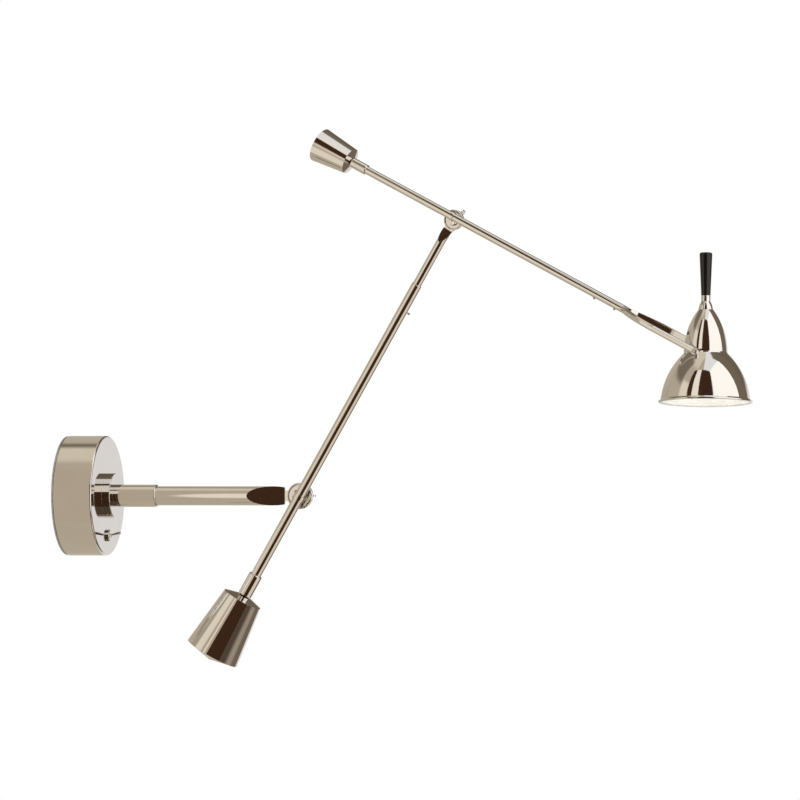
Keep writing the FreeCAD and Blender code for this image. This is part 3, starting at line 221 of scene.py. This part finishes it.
def frosted_glass():
    """Opal glass: part transmission, part scatter, with an uneven frosted surface."""
    finish, shader = start_finish(
        "opal_glass", Base_Color=(0.95, 0.94, 0.90, 1), IOR=1.5, Transmission_Weight=0.35,
        Subsurface_Weight=0.4, Subsurface_Radius=(SCATTER_REACH,) * 3,
        Emission_Color=(1.0, 0.95, 0.86, 1), Emission_Strength=1.2)
    vary_roughness(finish, shader, noise_pattern(finish, FROST_SCALE, detail=3.0), 0.25, 0.45)
    return finish


OPAL = frosted_glass()
print("glass:", OPAL.name)

# %% [markdown]
# ## Dressing the CAD pieces
# Each CAD piece keeps its mesh and its place.  Its finish goes into its material slot, by
# the slot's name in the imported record, so that a piece that is added later is never missed.
# Two pieces differ from the rest of their slot: the fork has its softer nickel, and the
# bushes in the shade's waist, whose ends show, are plated like the shade round them.

# %% Dress the CAD pieces
FINISH_OF_SLOT = {
    "nickel": NICKEL, "clamp": NICKEL_HAND, "screw_steel": STEEL, "zinc_steel": ZINC,
    "brass": BRASS, "fibre": FIBRE, "terminal_plastic": SWITCH_PLASTIC,
    "handle_black": BLACK_HANDLE, "holder_plastic": HOLDER_WHITE, "bulb_cap": BULB_CAP,
    "bulb_glass": OPAL, "white_enamel": ENAMEL,
}
FINISH_OF_NODE = {"head_fork": NICKEL_ROD, "shade_pivot_bushes": NICKEL}

SLOT_OF_NODE = {part["node"]: part["material_slot"] for part in frame["record"]["subparts"]}
for node, piece in NODES.items():
    finish = FINISH_OF_NODE.get(node, FINISH_OF_SLOT[SLOT_OF_NODE[node]])
    if not piece.material_slots:
        piece.data.materials.append(finish)
    for slot in piece.material_slots:
        slot.material = finish
print("dressed:", len(NODES), "pieces from", len(FINISH_OF_SLOT), "slots")

# %% [markdown]
# ## Directions in the studio
# Polished metal has no colour of its own to show: it shows the room.  What is far away looks
# the same from every piece of the lamp, so it can be painted in the world by direction,
# which costs nothing to render.  Two angles name a direction, as on a map: a compass angle,
# with the camera's side at 0 and what is right of the picture at 90, and a height.  An area
# of the room is where both angles lie between two limits.

# %% Directions in the studio
def compute(owner, operation, *operands):
    """One step of arithmetic, on plain numbers or other nodes' outputs."""
    node = add_node(owner, "ShaderNodeMath", operation=operation)
    for socket, operand in zip(node.inputs, operands):
        feed(owner, socket, operand)
    return node.outputs["Value"]


def direction_angles(world):
    """The compass angle from the camera's side, and the height angle, both in degrees."""
    direction = add_node(world, "ShaderNodeTexCoord").outputs["Generated"]
    split = add_node(world, "ShaderNodeSeparateXYZ", Vector=direction)
    towards_camera = compute(world, "MULTIPLY", split.outputs["Y"], -1.0)
    compass = compute(world, "ARCTAN2", split.outputs["X"], towards_camera)
    height = compute(world, "ARCSINE", split.outputs["Z"])
    return compute(world, "DEGREES", compass), compute(world, "DEGREES", height)


def band(owner, value, low, high, soft):
    """1 where a value lies between low and high, and 0 outside, with soft edges."""
    rise = add_node(owner, "ShaderNodeMapRange", interpolation_type="SMOOTHSTEP",
                    From_Min=low - soft, From_Max=low + soft, Value=value)
    fall = add_node(owner, "ShaderNodeMapRange", interpolation_type="SMOOTHSTEP",
                    From_Min=high - soft, From_Max=high + soft, To_Min=1.0, To_Max=0.0,
                    Value=value)
    return compute(owner, "MULTIPLY", rise.outputs["Result"], fall.outputs["Result"])


print("helpers: compute, direction_angles, band")

# %% [markdown]
# ## The studio's room
# The room is white all round, and its areas are laid over that one after the other, each
# covering what came before.  The side of the wall, on the picture's left, is warm and pale.
# The floor in front is dark, and so are a few bands high up, which give round metal the
# dark lines that it needs.  The camera itself sees plain white, and what isn't polished
# gets an even soft light.

# %% The studio's room
WHITE = (1.0, 1.0, 1.0, 1)
SOFT_LIGHT = (0.75, 0.74, 0.72, 1)
ROOM_WHITE = (0.98, 0.98, 1.0, 1)
# each: colour, compass from and to, height from and to, softness, all in degrees
ROOM = [
    # the wall's side: all of it, its ceiling, a darker part low down, a pale part, and the
    # part beside the camera
    ((0.56, 0.495, 0.40), -165, 3, -91, 91, 4),
    ((0.78, 0.71, 0.58), -165, -20, 64, 100, 6),
    ((0.50, 0.44, 0.355), -150, -64, -24, 10, 7),
    ((0.92, 0.85, 0.73), -62, -30, -48, 38, 4),
    ((0.55, 0.475, 0.375), -26, 4, -62, 90, 3),
    # the dark floor, the dark part on the right of the back, and the pale back
    ((0.10, 0.070, 0.052), 2, 156, -91, -12, 4),
    ((0.20, 0.16, 0.12), 112, 158, -60, 75, 3),
    ((0.86, 0.845, 0.85), 158, 181, -60, 60, 3),
    # dark bands above, over the wall and over the back, on both sides of 180 degrees
    ((0.22, 0.185, 0.14), -150, -66, 32, 66, 5),
    ((0.17, 0.14, 0.10), 146, 200, 10, 62, 5),
    ((0.17, 0.14, 0.10), -200, -165, 10, 62, 5),
    # a pale mat on the floor to the right, and a small bright spot above it
    ((0.85, 0.77, 0.64), 48, 118, -60, -28, 3),
    ((1.05, 1.00, 0.92), 57.5, 60.5, -19, -12, 0.8),
]


def paint_room():
    """The world: white to the camera, the painted room to polished metal, soft light else."""
    world = bpy.data.worlds.new("studio")
    bpy.context.scene.world = world
    world.use_nodes = True
    compass, height = direction_angles(world)
    room = ROOM_WHITE
    for colour, left, right, low, high, soft in ROOM:
        area = compute(world, "MULTIPLY", band(world, compass, left, right, soft),
                       band(world, height, low, high, soft))
        room = blend_colours(world, area, room, colour + (1,))
    path = add_node(world, "ShaderNodeLightPath").outputs
    plain = blend_colours(world, path["Is Camera Ray"], SOFT_LIGHT, WHITE)
    seen = blend_colours(world, path["Is Glossy Ray"], plain, room)
    feed(world, world.node_tree.nodes["Background"].inputs["Color"], seen)
    return world


print("world:", paint_room().name, "with", len(ROOM), "areas")

# %% [markdown]
# ## The backdrops
# Some of the studio stands near enough to look different from the canopy and from the
# shade, so it can't be painted by direction.  It is a set of upright boards, all more than a
# metre away from the lamp: a dark one for the camera's stand, with a dark one over each of
# its ends and a pale one between them, a pale strip on the left, and on the right the white
# board of the soft light.  Only reflections see them, so that they neither block the camera
# nor change how bright the lamp is.

# %% The backdrops
BLACK = (0, 0, 0, 1)


def flat_sheet(name, corners):
    """A flat sheet with four corners, put into the scene."""
    mesh = bpy.data.meshes.new(name)
    mesh.from_pydata(corners, [], [(0, 1, 2, 3)])
    sheet = bpy.data.objects.new(name, mesh)
    bpy.context.scene.collection.objects.link(sheet)
    return sheet


def backdrop(name, left, right, low, high, colour, fade=0.0):
    """An upright board between two floor points; a fade softens its top and bottom."""
    board = flat_sheet(name, [(*left, low), (*right, low), (*right, high), (*left, high)])
    finish, shader = start_finish(name + "_paint", Base_Color=BLACK, Roughness=1.0,
                                  Specular_IOR_Level=0.0, Emission_Color=colour + (1,),
                                  Emission_Strength=1.0)
    finish.cycles.emission_sampling = "NONE"
    if fade:
        place = add_node(finish, "ShaderNodeTexCoord").outputs["Object"]
        height = add_node(finish, "ShaderNodeSeparateXYZ", Vector=place).outputs["Z"]
        feed(finish, shader.inputs["Alpha"], band(finish, height, low + fade, high - fade, fade))
    board.data.materials.append(finish)
    for ray in ("camera", "diffuse", "transmission", "volume_scatter", "shadow"):
        setattr(board, "visible_" + ray, False)
    print("backdrop:", name)


STAND_BLACK = (0.055, 0.025, 0.013)
# each: name, left and right floor point, height from and to, colour, fade, in metres
backdrop("dark_board", (0.10, -1.43), (1.73, -1.31), -2.2, 0.50, STAND_BLACK)
backdrop("dark_board_left", (-0.20, -1.46), (0.26, -1.43), 0.50, 2.9, STAND_BLACK)
backdrop("dark_board_right", (0.74, -1.40), (1.73, -1.31), 0.50, 2.9, STAND_BLACK)
backdrop("pale_board_above", (0.26, -1.43), (0.74, -1.40), 0.50, 2.9, (1.05, 0.99, 0.89))
backdrop("pale_strip", (-0.275, -1.43), (-0.11, -1.43), -1.1, 1.1, (1.0, 0.90, 0.76), 0.35)
backdrop("white_board", (1.78, -1.27), (2.15, 0.45), -0.75, 3.0, (1.33, 1.31, 1.27))

# %% [markdown]
# ## The floor
# The floor is pale and plain.  It lies below the lamp and ends behind it, so that the lamp
# seems to hang in white, as a wall lamp does in a catalogue.  From below it is clear, so
# that it doesn't hide the lamp from a camera that looks up.

# %% The floor
FLOOR_HEIGHT = -0.62
FLOOR_LEFT = -3.0
FLOOR_RIGHT = 3.8
FLOOR_FRONT = -3.2
FLOOR_BACK = 1.7


def lay_floor():
    """A pale floor that isn't part of the lamp; only its upper side shows."""
    floor = flat_sheet("floor", [(FLOOR_LEFT, FLOOR_FRONT, FLOOR_HEIGHT),
                                 (FLOOR_RIGHT, FLOOR_FRONT, FLOOR_HEIGHT),
                                 (FLOOR_RIGHT, FLOOR_BACK, FLOOR_HEIGHT),
                                 (FLOOR_LEFT, FLOOR_BACK, FLOOR_HEIGHT)])
    finish = plain_finish("floor_paint", (0.86, 0.855, 0.85), (0.88, 0.875, 0.87),
                          (0.6, 0.7), 8.0)
    from_below = add_node(finish, "ShaderNodeNewGeometry").outputs["Backfacing"]
    shader = finish.node_tree.nodes["Principled BSDF"]
    feed(finish, shader.inputs["Alpha"], compute(finish, "SUBTRACT", 1.0, from_below))
    floor.data.materials.append(finish)
    floor.visible_glossy = False


lay_floor()
print("floor at", FLOOR_HEIGHT, "m")

# %% [markdown]
# ## Soft light
# Two large area lamps light what isn't polished: the handle, the bulb and the mouldings.
# One hangs above, and one stands on the right, on the side of the white board, so that
# shadows and reflections agree.

# %% Soft light
def hang_lamp(name, place, target, size, watts):
    """A square area lamp at a place, turned to a target."""
    light = bpy.data.lights.new(name, "AREA")
    light.energy = watts
    light.size = size
    lamp = bpy.data.objects.new(name, light)
    lamp.location = place
    lamp.rotation_euler = (Vector(target) - Vector(place)).to_track_quat("-Z", "Y").to_euler()
    lamp.visible_glossy = False
    bpy.context.scene.collection.objects.link(lamp)
    print(name, "hung at", place)


hang_lamp("light_above", place=(0.4, -0.4, 2.4), target=(0.4, 0, 0.1), size=1.8, watts=16)
hang_lamp("light_right", place=(2.4, -1.6, 0.9), target=(0.5, 0, 0.15), size=1.4, watts=14)

# %% [markdown]
# ## The camera
# The photograph was taken from far away with a long lens, a little to the right of square.
# The camera is level, at the middle of the lamp's height, so that the upright lines of the
# lamp stay upright without any shift.

# %% The camera
LEVEL = math.radians(90)
CAMERA_ANGLE = math.radians(16.0)
CAMERA_DISTANCE = 40.0
CAMERA_TARGET = Vector((0.436, -0.010, 0.120))
CAMERA_SEES_TO = 80.0
SENSOR_WIDTH = 36.0
PICTURE_WIDTH = 1.0


def set_camera():
    """A level camera with a long lens, at the photograph's angle."""
    data = bpy.data.cameras.new("camera")
    data.sensor_width = SENSOR_WIDTH
    data.lens = SENSOR_WIDTH * CAMERA_DISTANCE / PICTURE_WIDTH
    data.clip_end = CAMERA_SEES_TO
    camera = bpy.data.objects.new("camera", data)
    back = Vector((math.sin(CAMERA_ANGLE), -math.cos(CAMERA_ANGLE), 0))
    camera.location = CAMERA_TARGET + back * CAMERA_DISTANCE
    camera.rotation_euler = (LEVEL, 0, CAMERA_ANGLE)
    bpy.context.scene.collection.objects.link(camera)
    bpy.context.scene.camera = camera
    return camera


camera = set_camera()
bpy.context.scene.view_settings.view_transform = "Standard"
print("camera at", tuple(round(v, 3) for v in camera.location))
